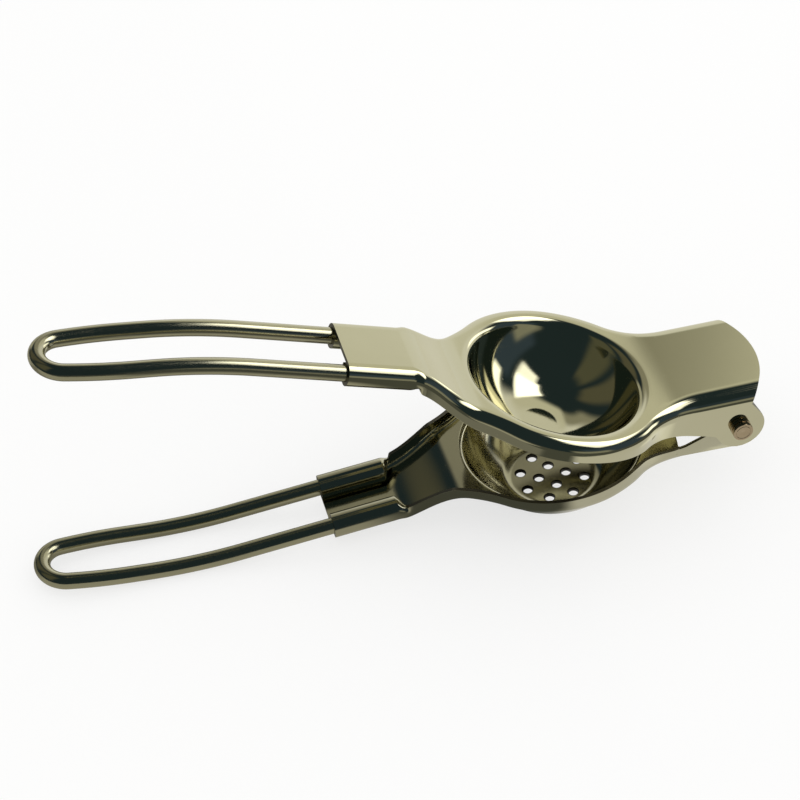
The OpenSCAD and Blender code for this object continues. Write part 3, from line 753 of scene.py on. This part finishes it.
# Lit through from below, as a light table is. Polished metal sees the spread cloth instead
ray = add(table, "ShaderNodeLightPath")
seen = add(table, "ShaderNodeMath", {"operation": "ADD"},
           {0: ray.outputs["Is Camera Ray"], 1: ray.outputs["Is Glossy Ray"]})
seen = add(table, "ShaderNodeMath", {"operation": "ADD"},
           {0: seen.outputs[0], 1: ray.outputs["Is Transmission Ray"]})
share = add(table, "ShaderNodeMath", {"operation": "MULTIPLY"}, {0: seen.outputs[0]})
share.inputs[1].default_value = LIT_THROUGH
lit_through = add(table, "ShaderNodeEmission", Color=linear("#ffffff"), Strength=1.0)
both = add(table, "ShaderNodeMixShader",
           links={0: share.outputs[0], 1: table_white.outputs[0], 2: lit_through.outputs[0]})
table.node_tree.links.new(both.outputs[0], table.node_tree.nodes["Material Output"].inputs["Surface"])
surface = bpy.data.meshes.new("table")
surface.from_pydata([(-1.5, -1.5, 0), (1.5, -1.5, 0), (1.5, 1.5, 0), (-1.5, 1.5, 0)], [], [(0, 1, 2, 3)])
surface.materials.append(table)
floor = bpy.data.objects.new("table", surface)
bpy.context.collection.objects.link(floor)

world = bpy.data.worlds.new("studio")
bpy.context.scene.world = world
world.use_nodes = True
world.node_tree.nodes["Background"].inputs["Color"].default_value = linear("#ffffff")
world.node_tree.nodes["Background"].inputs["Strength"].default_value = 1.0

TENT_R = 1.3


def soft(value, low, high, edge):
    """1 between low and high, falling to 0 over edge outside them."""
    t = max(0.0, min(1.0, 1 - max(low - value, value - high) / edge))
    return t * t * (3 - 2 * t)


def patched(base, patches, across, up):
    """Light of a cloth at one place: the base with each soft patch laid over it."""
    light = Vector(base)
    for colour, a1, a2, a_edge, b1, b2, b_edge in patches:
        light = light.lerp(Vector(colour), soft(across, a1, a2, a_edge) * soft(up, b1, b2, b_edge))
    return light


# Each patch of the tent: light as a colour, azimuth from behind the table
# towards the right, and height, in degrees, with the width of its soft edges
SLATE = (0.020, 0.034, 0.043)
TENT = [((0.110, 0.110, 0.075), -110, -84, 14, 26, 60, 14),
        ((0.120, 0.115, 0.080), -58, -38, 12, 20, 60, 12),
        ((0.046, 0.070, 0.105), 104, 150, 14, 0, 24, 8),
        ((0.300, 0.300, 0.250), 138, 166, 8, -5, 9, 7),
        ((0.520, 0.510, 0.430), -26, 14, 10, -5, 17, 6),
        ((0.340, 0.330, 0.270), -8, 24, 10, 30, 46, 12),
        ((0.920, 0.920, 0.900), 14, 68, 22, -5, 31, 9),
        ((0.750, 0.740, 0.640), 32, 68, 9, 36, 48, 14),
        ((2.400, 2.400, 2.300), 64, 96, 6, 7, 14, 5),
        ((1.800, 1.800, 1.800), 104, 126, 7, 38, 57, 6),
        ((3.000, 3.000, 3.000), 74, 108, 7, 38, 62, 5)]
# Each patch of the cloth on the table: light, then x and y in millimetres, with soft edges
SPREAD_GREY = (0.090, 0.095, 0.085)
SPREAD = [((0.900, 0.890, 0.840), 20, 1500, 40, 60, 1500, 40),
          ((0.430, 0.420, 0.370), -1500, -14, 18, -70, 1500, 10),
          ((0.430, 0.420, 0.370), -1500, -72, 12, -220, -60, 40),
          ((0.250, 0.245, 0.210), -1500, 0, 20, 6, 80, 12),
          ((0.230, 0.230, 0.210), -70, -8, 12, -105, -76, 14),
          ((0.700, 0.690, 0.660), 52, 170, 12, -104, 60, 12),
          ((1.000, 0.990, 0.930), 102, 180, 8, -26, 60, 8)]


def hang(name, rows, light_at, material):
    """A cloth with rows of points, lit by its own light, that only polished metal sees."""
    points = [point for row in rows for point in row]
    wide = len(rows[0])
    faces = [(i * wide + k, (i + 1) * wide + k,
              (i + 1) * wide + (k + 1) % wide, i * wide + (k + 1) % wide)
             for i in range(len(rows) - 1) for k in range(wide)]
    mesh = bpy.data.meshes.new(name)
    mesh.from_pydata(points, [], faces)
    light = [value for point in points for value in (*light_at(*point), 1.0)]
    mesh.attributes.new("light", "FLOAT_COLOR", "POINT").data.foreach_set("color", light)
    mesh.materials.append(material)
    cloth = bpy.data.objects.new(name, mesh)
    bpy.context.collection.objects.link(cloth)
    cloth.visible_camera = False
    cloth.visible_diffuse = False
    cloth.visible_transmission = False
    cloth.visible_shadow = False


def tent_light(x, y, z):
    """Light of the tent by azimuth and height."""
    return patched(SLATE, TENT, math.degrees(math.atan2(x, y)),
                   math.degrees(math.atan2(z, math.hypot(x, y))))


def spread_light(x, y, z):
    """Light of the spread cloth by its place on the table."""
    return patched(SPREAD_GREY, SPREAD, x / MM, y / MM)


cloth_lit = bpy.data.materials.new("lit_cloth")
cloth_lit.use_nodes = True
cloth_lit.node_tree.nodes.remove(cloth_lit.node_tree.nodes["Principled BSDF"])
light = add(cloth_lit, "ShaderNodeAttribute", {"attribute_name": "light"})
glow = add(cloth_lit, "ShaderNodeEmission", links={"Color": light.outputs["Color"]}, Strength=1.0)
cloth_lit.node_tree.links.new(glow.outputs[0], cloth_lit.node_tree.nodes["Material Output"].inputs["Surface"])

WEAVE = 3  # degrees between points, round the cloths and up the tent
around = [math.radians(WEAVE * k) for k in range(360 // WEAVE)]
up = [math.radians(WEAVE * i) for i in range(90 // WEAVE + 1)]
tent = [[(TENT_R * math.sin(a) * math.cos(e), TENT_R * math.cos(a) * math.cos(e), TENT_R * math.sin(e))
         for a in around] for e in up]
hang("tent", tent, tent_light, cloth_lit)
SPREAD_Z = 0.05 * MM
reach = [8 * MM * i for i in range(1, 31)] + [0.28, 0.34, 0.42, 0.55, 0.8, TENT_R]
spread = [[(r * math.sin(a), r * math.cos(a), SPREAD_Z) for a in around] for r in reach]
hang("spread", spread, spread_light, cloth_lit)

bpy.context.scene.view_settings.view_transform = "Standard"
